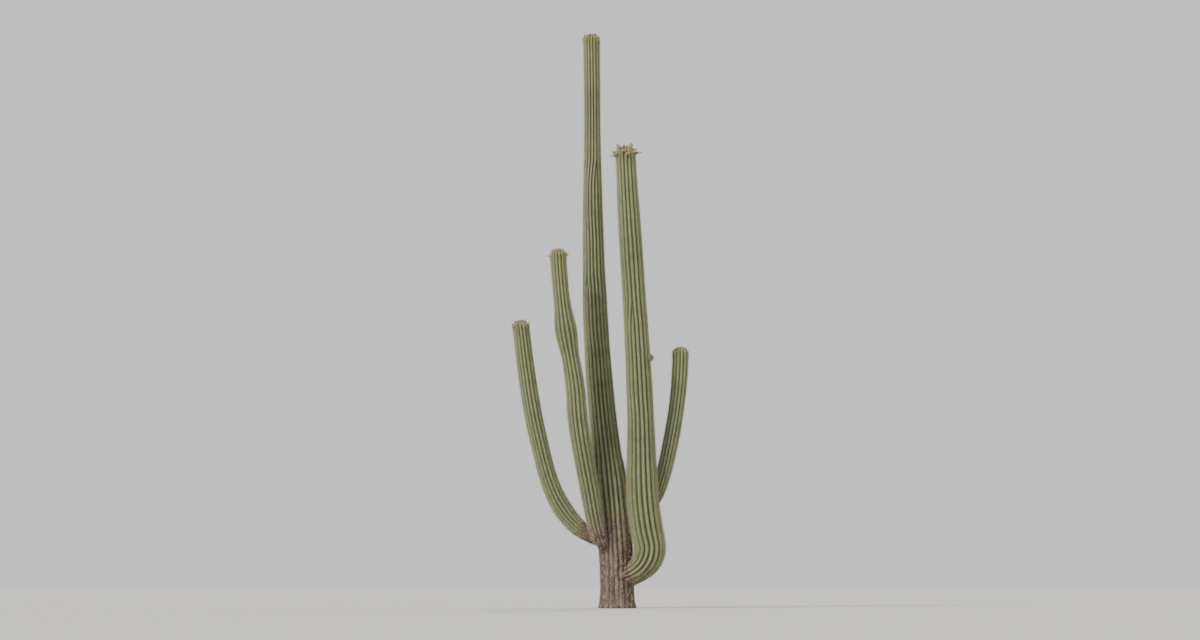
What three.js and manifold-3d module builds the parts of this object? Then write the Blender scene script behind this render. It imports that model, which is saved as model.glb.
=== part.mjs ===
// A tall saguaro cactus: one leaning trunk, and four arms that turn upwards beside it.
// Millimetres, +Z up. The origin is the centre of the flat cut under the trunk, at ground level.
// X runs across the plant from its left arms to its right arms, and Y runs away from the viewer.
// Every limb is a ribbed column that follows a smooth centreline and ends in a blunt dome,
// with a crown of flower buds and young fruit round its tip.

import * as THREE from "three";
import { mergeVertices } from "three/addons/utils/BufferGeometryUtils.js";
import Module from "manifold-3d";

const wasm = await Module();
wasm.setup();

// Sizes that all limbs share
const SPLIT_GAP = 0.4; // clearance between an elbow and its upright
const SEAT_SWELL = 0.8; // how far a cutter is swollen, to leave a like clearance on the ribs' steep sides
const UPRIGHT_STEP = 500; // distance between rings along an upright stretch
const ELBOW_STEP = 140; // distance between rings round a bend
const ELBOW_REACH = 0.4; // how far an elbow's handles reach, as a share of its span
const UPRIGHT_REACH = 1 / 3; // the same above the elbow, and along the trunk
const FOOT_STOPS = [0, 160, 480]; // rings of the flared foot
const CREST_SHARE = 0.24; // half of a rib's flat crest, as a share of the rib's pitch
const RIB_DEPTH_SHARE = 0.17; // depth of a groove, as a share of the limb's radius
const FOOT_RIB_SHARE = 0.35; // what is left of the ribs' depth at ground level
const FULL_RIB_HEIGHT = 1600; // where the trunk's ribs reach their full depth
const DOME_SHARE = 0.8; // height of the domed tip, as a share of the tip's radius
const DOME_RINGS = 3;
const DOME_CAP = 0.6; // how far the last ring stays from the pole, in ring steps
const BUD_SIDES = 5;
const BUD_RINGS = 4;
const BUD_WIDTH_SHARE = 0.56;
const BUD_SUNK_SHARE = 0.35; // share of a bud's length that is sunk in the limb

// The trunk and the arms. A knot is a point of the centreline, and aim is the way the limb heads there.
// Girth gives the radius over the rib crests at distances along the centreline.
// A crown has buds round the rim and on the top of the dome. Tilt is the rim buds' rise in degrees.
const TRUNK = {
  ribs: 20,
  knots: [
    { at: [0, 0, 0], aim: [0, 0, 1] },
    { at: [-392, 45, 5000], aim: [-0.071, 0.01, 1] },
    { at: [-540, 110, 11965], aim: [-0.02, 0.01, 1] },
  ],
  girth: [
    [0, 405], [160, 370], [480, 350], [1300, 354], [2100, 358], [2750, 350], [3250, 302], [4100, 284],
    [4970, 272], [5600, 262], [6500, 248], [7300, 224], [8230, 206], [9000, 188], [10000, 168], [11500, 169],
  ],
  crown: { rim: 9, top: 5, length: 78, tilt: 62 },
};

const RIGHT_TALL_ARM = {
  ribs: 18,
  knots: [
    { at: [0, 0, 640], aim: [0.92, -0.39, 0.06] },
    { at: [668, -300, 1360], aim: [-0.25, -0.01, 1] },
    { at: [502, -300, 3200], aim: [-0.013, -0.02, 1] },
    { at: [166, -430, 9595], aim: [-0.042, -0.02, 1] },
  ],
  girth: [
    [0, 240], [400, 256], [1000, 325], [1960, 334], [2560, 326], [3060, 297], [3900, 274], [4500, 268],
    [5300, 252], [6400, 240], [7600, 236], [8200, 226], [8700, 213], [9200, 206],
  ],
  crown: { rim: 13, top: 7, length: 152, tilt: 14 },
  nub: { height: 5200, radius: 78 },
};

const RIGHT_SHORT_ARM = {
  ribs: 13,
  knots: [
    { at: [530, -300, 1850], aim: [0.54, 0.34, 0.77] },
    { at: [993, -20, 2900], aim: [0.24, 0.13, 1] },
    { at: [1320, 220, 5430], aim: [-0.005, 0.03, 1] },
  ],
  girth: [[0, 118], [330, 120], [800, 142], [1650, 160], [2500, 160], [3100, 166], [3700, 164]],
  crown: { rim: 5, top: 3, length: 58, tilt: 60 },
};

const LEFT_TALL_ARM = {
  ribs: 14,
  knots: [
    { at: [-60, 0, 1020], aim: [-0.55, -0.62, 0.5] },
    { at: [-520, -430, 2150], aim: [-0.161, -0.14, 1] },
    { at: [-850, -720, 4300], aim: [-0.05, -0.1, 1] },
    { at: [-1040, -860, 5600], aim: [-0.17, -0.1, 1] },
    { at: [-1232, -1000, 7440], aim: [-0.05, -0.03, 1] },
  ],
  girth: [
    [0, 122], [430, 130], [850, 168], [1400, 190], [3300, 206], [4250, 188], [4500, 184], [5000, 226],
    [5600, 172], [6500, 165],
  ],
  crown: { rim: 9, top: 4, length: 85, tilt: 35 },
};

const LEFT_LOW_ARM = {
  ribs: 14,
  knots: [
    { at: [-30, 0, 1280], aim: [-0.92, 0.23, 0.3] },
    { at: [-1190, 295, 2150], aim: [-0.6, 0.13, 1] },
    { at: [-1640, 400, 3500], aim: [-0.24, 0.05, 1] },
    { at: [-2030, 490, 6000], aim: [-0.12, -0.01, 1] },
  ],
  girth: [
    [0, 118], [430, 130], [900, 176], [1450, 196], [1950, 184], [2450, 177], [3300, 184], [4400, 181],
    [5200, 172],
  ],
  crown: { rim: 9, top: 4, length: 85, tilt: 35 },
};

const skin = (hex) => new THREE.MeshStandardMaterial({ color: hex, roughness: 0.6, metalness: 0 });
const TRUNK_SKIN = skin(0x6f7a4e);
const ARM_SKIN = skin(0x7b8b54);

const GOLDEN = 0.618034; // spreads the buds' small differences evenly
const radians = THREE.MathUtils.degToRad;

// A smooth value between stations [distance, value], with the slope at each taken from its neighbours.
function along(stations, distance) {
  const last = stations.length - 1;
  if (distance <= stations[0][0]) return stations[0][1];
  if (distance >= stations[last][0]) return stations[last][1];
  const slope = (k) => {
    const [before, after] = [stations[Math.max(k - 1, 0)], stations[Math.min(k + 1, last)]];
    return (after[1] - before[1]) / (after[0] - before[0]);
  };
  const i = stations.findIndex((station) => station[0] > distance) - 1;
  const [[from, low], [to, high]] = [stations[i], stations[i + 1]];
  const span = to - from;
  const t = (distance - from) / span;
  return (
    low * (1 + 2 * t) * (1 - t) ** 2 +
    high * t * t * (3 - 2 * t) +
    slope(i) * span * t * (1 - t) ** 2 -
    slope(i + 1) * span * t * t * (1 - t)
  );
}

// The centreline of a limb: one cubic curve from each knot to the next.
function centreline(knots) {
  const path = new THREE.CurvePath();
  path.arcLengthDivisions = 400;
  for (let i = 1; i < knots.length; i++) {
    const [start, end] = [new THREE.Vector3(...knots[i - 1].at), new THREE.Vector3(...knots[i].at)];
    const reach = start.distanceTo(end) * (i === 1 ? ELBOW_REACH : UPRIGHT_REACH);
    const leave = new THREE.Vector3(...knots[i - 1].aim).setLength(reach);
    const arrive = new THREE.Vector3(...knots[i].aim).setLength(reach);
    path.add(new THREE.CubicBezierCurve3(start, leave.add(start), end.clone().sub(arrive), end));
  }
  return path;
}

// A limb with its centreline measured. Its elbow is the stretch up to the second knot.
// Sideways is level and square to the way an arm sets out, and straight back on the trunk.
function measured(limb) {
  const path = centreline(limb.knots);
  const length = path.getLength();
  const [outX, outY] = limb === TRUNK ? [1, 0] : limb.knots[0].aim;
  const sideways = new THREE.Vector3(-outY, outX, 0).normalize();
  const frameAt = (distance) => {
    const share = Math.min(distance / length, 1);
    const centre = path.getPointAt(share);
    const ahead = path.getTangentAt(share).normalize();
    const side = sideways.clone().addScaledVector(ahead, -sideways.dot(ahead)).normalize();
    const front = side.clone().cross(ahead);
    return { centre, ahead, side, front };
  };
  const dome = along(limb.girth, length) * DOME_SHARE;
  return { limb, length, dome, elbow: path.curves[0].getLength(), frameAt };
}

// How much of its full girth a limb has left: all of it up to the dome, and none at the pole.
function domeShare(column, distance) {
  const into = Math.max(0, (distance - (column.length - column.dome)) / column.dome);
  return Math.sqrt(Math.max(0, 1 - into * into));
}

const crestRadius = (column, distance) => along(column.limb.girth, distance) * domeShare(column, distance);

function grooveDepth(column, distance) {
  const depth = crestRadius(column, distance) * RIB_DEPTH_SHARE;
  if (column.limb !== TRUNK) return depth;
  return depth * Math.min(1, FOOT_RIB_SHARE + ((1 - FOOT_RIB_SHARE) * distance) / FULL_RIB_HEIGHT);
}

// Distances of the rings along a stretch, closer together round a bend, at the foot and over the dome.
function ringStops(column, from, to) {
  const isTrunk = column.limb === TRUNK;
  const straightEnd = Math.min(to, column.length - column.dome);
  const stops = isTrunk ? [...FOOT_STOPS] : [];
  let at = isTrunk ? FOOT_STOPS.at(-1) + UPRIGHT_STEP : from;
  while (at < straightEnd - ELBOW_STEP / 2) {
    stops.push(at);
    at += !isTrunk && at < column.elbow ? ELBOW_STEP : UPRIGHT_STEP;
  }
  stops.push(straightEnd);
  if (to < column.length) return stops;
  for (let k = 1; k <= DOME_RINGS; k++) {
    const rise = Math.sin((k / (DOME_RINGS + DOME_CAP)) * (Math.PI / 2));
    stops.push(straightEnd + column.dome * rise);
  }
  return stops;
}

// The turns round a ring where its points lie: the two edges of each crest, then the groove.
function ribTurns(ribs) {
  const turns = [];
  for (let rib = 0; rib < ribs; rib++) {
    const turn = (share) => ((rib + share) / ribs) * 2 * Math.PI;
    turns.push({ turn: turn(-CREST_SHARE), groove: 0 });
    turns.push({ turn: turn(CREST_SHARE), groove: 0 });
    turns.push({ turn: turn(0.5), groove: 1 });
  }
  return turns;
}

// One stretch of a ribbed limb as a closed mesh. Grow swells it evenly, for use as a cutter.
function ribbedColumn(column, from, to, grow = 0) {
  const turns = ribTurns(column.limb.ribs);
  const stops = ringStops(column, from, to);
  const points = [];
  for (const stop of stops) {
    const { centre, side, front } = column.frameAt(stop);
    for (const { turn, groove } of turns) {
      const radius = crestRadius(column, stop) + grow - groove * grooveDepth(column, stop);
      const point = centre.clone();
      point.addScaledVector(front, radius * Math.cos(turn));
      point.addScaledVector(side, radius * Math.sin(turn));
      points.push(point);
    }
  }
  const [bottom, top] = [points.length, points.length + 1];
  points.push(column.frameAt(stops[0]).centre);
  points.push(column.frameAt(to >= column.length ? to : stops.at(-1)).centre);

  const faces = [];
  const around = turns.length;
  const lastRing = (stops.length - 1) * around;
  for (let j = 0; j < around; j++) {
    const next = (j + 1) % around;
    faces.push(bottom, next, j);
    for (let ring = 0; ring < lastRing; ring += around) {
      faces.push(ring + j, ring + next, ring + next + around);
      faces.push(ring + j, ring + next + around, ring + j + around);
    }
    faces.push(lastRing + j, lastRing + next, top);
  }
  const geometry = new THREE.BufferGeometry().setFromPoints(points);
  geometry.setIndex(faces);
  return geometry;
}

// A geometry as an exact solid that can be joined and cut.
function solidOf(geometry) {
  const bare = geometry.clone();
  bare.deleteAttribute("normal");
  bare.deleteAttribute("uv");
  const merged = mergeVertices(bare, 1e-3);
  return new wasm.Manifold(
    new wasm.Mesh({
      numProp: 3,
      vertProperties: merged.attributes.position.array,
      triVerts: new Uint32Array(merged.index.array),
    }),
  );
}

// The way out of a limb at a turn, tipped up by a slope in radians.
function outward({ ahead, side, front }, turn, slope) {
  const out = front.clone().multiplyScalar(Math.cos(turn)).addScaledVector(side, Math.sin(turn));
  return out.multiplyScalar(Math.cos(slope)).addScaledVector(ahead, Math.sin(slope));
}

// The buds round a limb's tip: each is a slim egg that leans out of a rib's crest.
function crownBuds(column) {
  const { limb, length, dome, frameAt } = column;
  const { rim, top, length: budLength, tilt } = limb.crown;
  const buds = [];
  for (let k = 0; k < rim + top; k++) {
    const onRim = k < rim;
    const vary = (k * GOLDEN) % 1;
    const rib = Math.round((onRim ? k / rim : (k - rim + 0.5) / top) * limb.ribs);
    const turn = (rib / limb.ribs) * 2 * Math.PI;
    const distance = length - dome * (onRim ? 0.6 + 0.5 * vary : 0.15 + 0.25 * vary);
    const slope = radians(onRim ? tilt + 45 * (0.5 - vary) : 52 + 30 * vary);
    const frame = frameAt(distance);
    const seat = outward(frame, turn, 0).setLength(crestRadius(column, distance)).add(frame.centre);
    buds.push({ seat, axis: outward(frame, turn, slope), size: budLength * (0.8 + 0.3 * vary) });
  }
  return buds;
}

function budSolid({ seat, axis, size }) {
  const egg = new THREE.SphereGeometry(size / 2, BUD_SIDES, BUD_RINGS);
  egg.scale(BUD_WIDTH_SHARE, 1, BUD_WIDTH_SHARE);
  egg.translate(0, size * (0.5 - BUD_SUNK_SHARE), 0);
  egg.applyQuaternion(new THREE.Quaternion().setFromUnitVectors(new THREE.Vector3(0, 1, 0), axis));
  egg.translate(seat.x, seat.y, seat.z);
  return solidOf(egg);
}

const withBuds = (solid, column) => crownBuds(column).reduce((made, bud) => made.add(budSolid(bud)), solid);

// The start of a new arm: a small ball half sunk in the limb, on the side that the limb set out to.
function nubSolid(column) {
  const { height, radius } = column.limb.nub;
  let distance = column.elbow;
  while (column.frameAt(distance).centre.z < height) distance += 1;
  const frame = column.frameAt(distance);
  const seat = outward(frame, 0, 0).setLength(crestRadius(column, distance) - radius / 4).add(frame.centre);
  return solidOf(new THREE.SphereGeometry(radius, 8, 6).translate(seat.x, seat.y, seat.z));
}

// The largest body of a cut solid, without the crumbs that lay in the grooves of what cut it.
const mainBody = (solid) => solid.decompose().sort((a, b) => b.volume() - a.volume())[0];

const plant = new THREE.Group();

function addNode(name, solid, material) {
  const { vertProperties, triVerts } = mainBody(solid).getMesh();
  const geometry = new THREE.BufferGeometry();
  geometry.setAttribute("position", new THREE.BufferAttribute(vertProperties, 3));
  geometry.setIndex(new THREE.BufferAttribute(triVerts, 1));
  geometry.computeVertexNormals();
  const mesh = new THREE.Mesh(geometry, material);
  mesh.name = name;
  plant.add(mesh);
}

// An arm that bends round a wide gap: its elbow, cut to the trunk's face, and the upright above the bend.
function addBentArm(name, column, seat) {
  const elbow = solidOf(ribbedColumn(column, 0, column.elbow));
  const upright = solidOf(ribbedColumn(column, column.elbow + SPLIT_GAP, column.length));
  const finished = column.limb.nub ? upright.add(nubSolid(column)) : upright;
  addNode(`${name}_elbow`, elbow.subtract(seat), ARM_SKIN);
  addNode(name, withBuds(finished, column), ARM_SKIN);
}

const trunk = measured(TRUNK);
const trunkSeat = solidOf(ribbedColumn(trunk, 0, trunk.length, SEAT_SWELL));
addNode("trunk", withBuds(solidOf(ribbedColumn(trunk, 0, trunk.length)), trunk), TRUNK_SKIN);

const rightTall = measured(RIGHT_TALL_ARM);
addBentArm("right_tall_arm", rightTall, trunkSeat);
addBentArm("left_tall_arm", measured(LEFT_TALL_ARM), trunkSeat);
addBentArm("left_low_arm", measured(LEFT_LOW_ARM), trunkSeat);

// The short arm is nearly straight, and springs from the upright of the right tall arm.
const rightShort = measured(RIGHT_SHORT_ARM);
const rightTallSeat = solidOf(ribbedColumn(rightTall, rightTall.elbow, rightTall.length, SEAT_SWELL));
const shortColumn = solidOf(ribbedColumn(rightShort, 0, rightShort.length)).subtract(rightTallSeat);
addNode("right_short_arm", withBuds(shortColumn, rightShort), ARM_SKIN);

export default plant;
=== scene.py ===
# A tall saguaro cactus, dressed over its solids: ribbed skins on the trunk and arms, clusters of spines
# along every rib, and crowns of flower buds and young fruit round the tips. Metres, +Z up.

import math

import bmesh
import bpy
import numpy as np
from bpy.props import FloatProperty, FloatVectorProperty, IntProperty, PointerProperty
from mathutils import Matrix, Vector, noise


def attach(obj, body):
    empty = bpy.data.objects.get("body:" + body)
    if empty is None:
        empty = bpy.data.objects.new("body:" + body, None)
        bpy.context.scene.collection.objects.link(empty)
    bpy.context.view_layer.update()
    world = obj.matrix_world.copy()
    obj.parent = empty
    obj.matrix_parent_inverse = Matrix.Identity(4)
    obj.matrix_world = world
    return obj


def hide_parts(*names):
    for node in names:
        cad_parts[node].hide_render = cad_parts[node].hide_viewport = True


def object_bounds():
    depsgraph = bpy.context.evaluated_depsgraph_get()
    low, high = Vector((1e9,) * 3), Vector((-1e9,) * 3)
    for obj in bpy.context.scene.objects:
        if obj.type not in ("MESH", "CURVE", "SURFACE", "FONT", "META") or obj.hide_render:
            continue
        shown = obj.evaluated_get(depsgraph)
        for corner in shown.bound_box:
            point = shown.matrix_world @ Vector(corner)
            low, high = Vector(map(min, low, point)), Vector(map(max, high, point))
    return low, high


bl_info = {
    "name": "Saguaro Cactus",
    "version": (1, 0, 0),
    "blender": (4, 5, 0),
    "location": "3D View > Sidebar > Saguaro",
    "description": "Dresses the solids of a saguaro cactus with skins, spines and crowns of buds",
    "category": "Add Mesh",
}

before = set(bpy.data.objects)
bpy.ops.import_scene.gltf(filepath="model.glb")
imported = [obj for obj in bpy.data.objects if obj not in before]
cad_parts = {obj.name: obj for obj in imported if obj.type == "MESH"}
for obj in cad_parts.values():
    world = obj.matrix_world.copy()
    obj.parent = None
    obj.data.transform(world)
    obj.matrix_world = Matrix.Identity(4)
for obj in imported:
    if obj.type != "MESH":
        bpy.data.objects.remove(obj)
CAD_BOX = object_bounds()

# Proportions that all limbs share with the solids under them
ELBOW_REACH = 0.4  # how far the first curve's handles reach, as a share of its span
UPRIGHT_REACH = 1 / 3
RIB_DEPTH_SHARE = 0.17  # depth of a groove, as a share of the limb's radius
FOOT_RIB_SHARE = 0.35  # what is left of the ribs' depth where a limb begins
FULL_RIB_HEIGHT = 1.6  # where the trunk's ribs reach their full depth
ARM_RIB_SPAN = 2.5  # the same for an arm, as a share of its radius where it begins
DOME_SHARE = 0.8  # height of a domed tip, as a share of the tip's radius
GOLDEN = 0.618034  # spreads the buds' small differences evenly
SAME_PLACE = 1e-5  # points this close together are one
SEED_SHIFT = (17.3, 5.1, 9.7)  # how far each seed moves the noise

CURVE_SAMPLES = 500  # points along each curve of a centreline
COARSE_STEP = 5  # every fifth of them tells well enough how deep a place lies in a limb
SEAT_DEPTH = 0.9  # how deep in what carries it an arm's skin starts, as a share of its radius
SEAT_REACH = 1 / 3  # it is looked for in this share of the arm
SEAT_SEARCH = 400  # places tried

# The limbs. A knot is a point of the centreline, and the way the limb heads there.
# Girth gives the radius over the rib crests at distances along the centreline.
# Cork reach is how far the corky old skin goes up from where the limb begins.
# Rib ends name the ribs that run out below the tip, and the distance where each one does.
TRUNK = dict(
    name="trunk", nodes=["trunk"], ribs=20, cork_reach=2.7,
    knots=[
        ((0, 0, 0), (0, 0, 1)),
        ((-0.392, 0.045, 5), (-0.071, 0.01, 1)),
        ((-0.54, 0.11, 11.965), (-0.02, 0.01, 1)),
    ],
    girth=[
        (0, 0.405), (0.16, 0.37), (0.48, 0.35), (1.3, 0.354), (2.1, 0.358), (2.75, 0.35), (3.25, 0.302),
        (4.1, 0.284), (4.97, 0.272), (5.6, 0.262), (6.5, 0.248), (7.3, 0.224), (8.23, 0.206), (9, 0.188),
        (10, 0.168), (11.5, 0.169),
    ],
    crown=dict(rim=9, top=5, length=0.078, tilt=62),
    rib_ends={3: 5.9, 8: 8.3, 13: 7.1, 17: 9.5},
)

RIGHT_TALL_ARM = dict(
    name="right_tall_arm", nodes=["right_tall_arm_elbow", "right_tall_arm"], ribs=18, cork_reach=0.75,
    knots=[
        ((0, 0, 0.64), (0.92, -0.39, 0.06)),
        ((0.668, -0.3, 1.36), (-0.25, -0.01, 1)),
        ((0.502, -0.3, 3.2), (-0.013, -0.02, 1)),
        ((0.166, -0.43, 9.595), (-0.042, -0.02, 1)),
    ],
    girth=[
        (0, 0.24), (0.4, 0.256), (1, 0.325), (1.96, 0.334), (2.56, 0.326), (3.06, 0.297), (3.9, 0.274),
        (4.5, 0.268), (5.3, 0.252), (6.4, 0.24), (7.6, 0.236), (8.2, 0.226), (8.7, 0.213), (9.2, 0.206),
    ],
    crown=dict(rim=13, top=7, length=0.152, tilt=14),
    rib_ends={5: 4.4, 14: 6.3},
)

RIGHT_SHORT_ARM = dict(
    name="right_short_arm", nodes=["right_short_arm"], ribs=13, cork_reach=0.45,
    knots=[
        ((0.53, -0.3, 1.85), (0.54, 0.34, 0.77)),
        ((0.993, -0.02, 2.9), (0.24, 0.13, 1)),
        ((1.32, 0.22, 5.43), (-0.005, 0.03, 1)),
    ],
    girth=[
        (0, 0.118), (0.33, 0.12), (0.8, 0.142), (1.65, 0.16), (2.5, 0.16), (3.1, 0.166), (3.7, 0.164),
    ],
    crown=dict(rim=5, top=3, length=0.058, tilt=60),
)

LEFT_TALL_ARM = dict(
    name="left_tall_arm", nodes=["left_tall_arm_elbow", "left_tall_arm"], ribs=14, cork_reach=0.85,
    knots=[
        ((-0.06, 0, 1.02), (-0.55, -0.62, 0.5)),
        ((-0.52, -0.43, 2.15), (-0.161, -0.14, 1)),
        ((-0.85, -0.72, 4.3), (-0.05, -0.1, 1)),
        ((-1.04, -0.86, 5.6), (-0.17, -0.1, 1)),
        ((-1.232, -1, 7.44), (-0.05, -0.03, 1)),
    ],
    girth=[
        (0, 0.122), (0.43, 0.13), (0.85, 0.168), (1.4, 0.19), (3.3, 0.206), (4.25, 0.188), (4.5, 0.184),
        (5, 0.226), (5.6, 0.172), (6.5, 0.165),
    ],
    crown=dict(rim=9, top=4, length=0.085, tilt=35),
)

LEFT_LOW_ARM = dict(
    name="left_low_arm", nodes=["left_low_arm_elbow", "left_low_arm"], ribs=14, cork_reach=0.8,
    knots=[
        ((-0.03, 0, 1.28), (-0.92, 0.23, 0.3)),
        ((-1.19, 0.295, 2.15), (-0.6, 0.13, 1)),
        ((-1.64, 0.4, 3.5), (-0.24, 0.05, 1)),
        ((-2.03, 0.49, 6), (-0.12, -0.01, 1)),
    ],
    girth=[
        (0, 0.118), (0.43, 0.13), (0.9, 0.176), (1.45, 0.196), (1.95, 0.184), (2.45, 0.177), (3.3, 0.184),
        (4.4, 0.181), (5.2, 0.172),
    ],
    crown=dict(rim=9, top=4, length=0.085, tilt=35),
)

# The start of a new arm, on the outer side of the right tall arm
NUB_HEIGHT = 5.2
NUB_REACH = 0.066  # how far it stands out of the ribs
NUB_SUNK = 0.09
NUB_LIFT = 0.02  # how much higher its tip is than its foot
NUB_LEAN = 0.7  # how much it has turned up at the tip
NUB_RIBS = 9
NUB_RADIUS = 0.07
NUB_WAIST = 0.7  # its radius where it starts, as a share of that
NUB_SEED = 9

# The crowns. Each bud's own share picks its value between two ends.
RIM_DROP = (0.6, 1.1)  # how far under the pole the buds on the rim stand, as a share of the dome's height
TOP_DROP = (0.15, 0.4)
RIM_LEAN = (22.5, -22.5)  # degrees that they stand up or lie down from the crown's tilt
TOP_TILT = (52, 82)
BUD_SIZES = (0.8, 1.1)
BUD_SHARE = 0.55  # the others are young fruit
BUD_TURN = 2.1
WOOL_PAD = (0.26, 0.26, 0.07)  # half its size, as shares of the tip's radius
WOOL_LUMPS = 0.22
WOOL_RHYTHM = 5
WOOL_STEP = 7
WOOL_FUZZ = 0.05
WOOL_SEED = 5

# Their small round shapes, as (radius, height) in units of a bud's size, and what lies on them
BUD_TUBE = (
    (0, -0.12), (0.12, -0.1), (0.18, 0), (0.21, 0.12), (0.195, 0.28), (0.175, 0.42), (0.14, 0.5), (0, 0.52)
)
BUD_TOP = (0, 0.4), (0.12, 0.43), (0.142, 0.49), (0.13, 0.56), (0.092, 0.63), (0.04, 0.68), (0, 0.69)
FRUIT = (0, -0.12), (0.11, -0.1), (0.17, 0), (0.21, 0.13), (0.21, 0.27), (0.165, 0.39), (0.1, 0.45), (0, 0.46)
THROAT = (0, 0.4), (0.085, 0.41), (0.062, 0.5), (0.055, 0.6), (0.08, 0.7), (0.055, 0.75), (0, 0.75)
PETAL_FOLDS = 0.07  # depth of the closed petals' folds, as a share of their radius
FOLD_COUNT = 8
FOLD_TWIST = 5
BUD_SCALES = dict(count=40, low=-0.02, high=0.42, radius=0.205, width=0.12, length=0.15)
FRUIT_SCALES = dict(count=22, low=0.0, high=0.36, radius=0.215, width=0.09, length=0.085)
SCALE_THICKNESS = 0.045
SCALE_TAPER = 0.25  # how much nearer to the axis the top scales stand
SCALE_TILT = math.radians(-14)
DRIED_PETALS = 11
PETAL_SEAT = (0, 0.045, 0.66)
PETAL_LEAN = (0.2, 0.7)
PETAL_TURN = 1.1
PETAL_WIDTH = 0.07
PETAL_THICKNESS = 0.03
PETAL_LENGTHS = (0.17, 0.22, 0.27)

# The ribs. Points across one, as shares of its width, from one groove to just before the next.
RIB_SHARES = np.array([-0.5, -0.43, -0.32, -0.17, 0, 0.17, 0.32, 0.43])
RIB_ROUNDNESS = 1.6  # power of the curve from crest to groove
GROOVE_FALL = 0.28  # share of the depth that falls away beside the groove
GROOVE_SHARPNESS = 5  # power of that fall
CREST_WIDTH = 0.6  # share of the rib's width
CREST_BUMP = 0.0045  # how far the crest stands up under a spine cluster
RIB_END_LENGTH = 0.7  # over this distance a rib narrows to nothing
LEAST_RIB = 0.06  # a narrower rib is left out
BARE_RIB = 0.5  # a narrower rib carries no clusters
RIB_MEANDER = 0.07  # how far the grooves stray sideways, as a share of a rib's width
MEANDER_RHYTHM = 0.8  # a rhythm is how often something swells and sinks in a metre
MEANDER_STEP = 2.3  # how far apart two ribs lie in the noise
GIRTH_WOBBLE = 0.012
GIRTH_RHYTHM = 1.7
GIRTH_STEP = 3.1  # how far apart two limbs lie in it

# The skin's relief and the cork's edge, as pairs of a height and a rhythm
SWELLS = (0.003, 3.5)
DENTS = (0.0014, 13)
PLATES = (0.009, 15)
PLATE_STRETCH = (1, 1, 0.55)  # plates of cork are higher than wide
PLATE_SINK = 0.002  # how far the cracks between them lie under the living skin
CORK_STRAYS = ((0.3, 1.9), (0.14, 6.5))
CORK_FADE = (0.05, 1)  # from where to where it thins out, as shares of its reach
EXIT_CORK = 0.8  # how corky the skin is round an arm that breaks out of it
EXIT_STRAY = 2  # how much more its edge strays there
EXIT_SPAN = (0.9, 2.4)  # from where to where it heals, in radii of the arm

# The spine clusters and their spines. A rise is an angle off the skin, in radians.
CROWDED_TIP = 0.22  # over this distance below a tip, every ring has a cluster on every rib
POLE_SHARE = 0.2  # share of a tip's radius round its pole, where the clusters leave the ribs
POLE_STEP = 0.0025  # radius of the pole for each cluster in its spiral
POLE_FADE = 3  # the bumps on the crests flatten from this many of its radii
SLOPES = (-0.5, 4)  # the least and the most that a crest turns to the tip
BARE_FOOT = 0.12  # height over the ground where the lowest clusters sit
CLEAR_OF_OTHERS = 0.012  # clusters keep this far from the other limbs
CORK_SHEDS = 0.9  # share of the clusters that full cork has lost
HALO_BETWEEN = 0.25  # how much of a cluster's dry halo shows between two of them
CUSHION_SIDES = 6
CUSHION_WIDTH = 0.75  # width over height of a felt cushion
CUSHION_SUNK = 0.3
CUSHION_CROWN = 0.45
CUSHION_SPREAD = (0.8, 1.2)
FOOT_RING = 0.003  # radius of the ring that a cluster's spines spring from
OFF_AXIS = (0.31, 0.53, 0.79)  # a way that no spine points
DOWN = math.pi * 1.5  # the turn round a cluster that points down the limb
TURN_STRAY = 0.2
RISES = (0.34, 1.0)  # of the outer and the inner spines
RISE_STRAY = 0.16
LENGTHS = (0.52, 0.75)  # the same, as shares of the longest spine
LENGTH_SPREAD = (0.65, 1.2)
SPEAR_LENGTH = 1.5  # a cluster's lowest inner spine is this much longer
SPEAR_DROOP = 0.35  # and points down this much more
WIDTHS = (0.8, 1)
STOUT_SPAN = (1.5, 5)  # between these heights the spines turn shorter and thinner
LENGTH_BY_HEIGHT = (0.6, 1)  # high up and low down
WIDTH_BY_HEIGHT = (0.8, 1.3)
TENDER_SPAN = (0.05, 0.4)  # down to here below a tip they are longer again
TENDER_LENGTH = 0.12
YOUNG_SPAN = (0.05, 0.6)  # below a tip, this year's spines give way to older ones
YOUNG_SHARE = 0.9  # how many of the spines at a tip are young
WEATHERED_SHARES = (0.12, 0.75)  # how many of the spines have weathered, at least and at most
WEATHERED_FALL = 0.07  # how many fewer with each metre of height
TAWNY_SHARE = 0.3  # how many of the others have darkened
SPINE_AGES = ("weathered", "tawny", "straw", "young")
WEATHERED, TAWNY, STRAW, YOUNG = range(4)

# The stage. A lamp has its degrees round from the camera, degrees up, strength and width in degrees.
FLOOR_DROP = 0.004
FLOOR_SIDES = 128
SURROUND_STRENGTH = 0.95
LAMPS = {"key": (-48, 40, 4, 13), "fill": (62, 24, 0.5, 40), "rim": (160, 38, 1.6, 25)}
PICTURE_SHAPE = 1200 / 640  # width over height
CLIP_DISTANCES = (1, 1000)


def unit(way):
    """A direction of length 1."""
    way = np.asarray(way, float)
    return way / np.linalg.norm(way, axis=-1, keepdims=True)


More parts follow.
